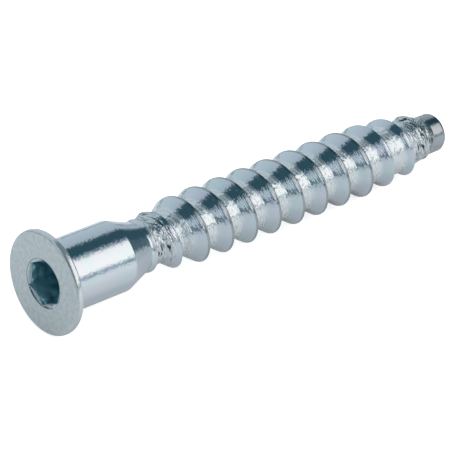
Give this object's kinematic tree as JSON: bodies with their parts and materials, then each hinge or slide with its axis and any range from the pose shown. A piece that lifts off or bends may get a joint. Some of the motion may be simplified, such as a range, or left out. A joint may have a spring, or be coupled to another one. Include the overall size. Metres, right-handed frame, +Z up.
{
  "type": "flat head hexagon socket furniture screw",
  "caption": "Zinc plated furniture connecting screw with a thin flat head, hexagon socket, plain shank, coarse thread and pilot tip, lying on its side.",
  "frame": {"origin": "centre of the ground rectangle under the lying screw, on the surface that it rests on", "axes": "+Z up, +X from the head towards the tip; the axis of the screw falls by 2.4 degrees towards +X, because the head is wider than the thread"},
  "size_m": [0.0502, 0.0102, 0.0102],
  "materials": {
    "zinc_plated_steel": "zinc plated, pale blue satin"
  },
  "bodies": {
    "root": {"screw": "zinc_plated_steel"}
  },
  "joints": []
}
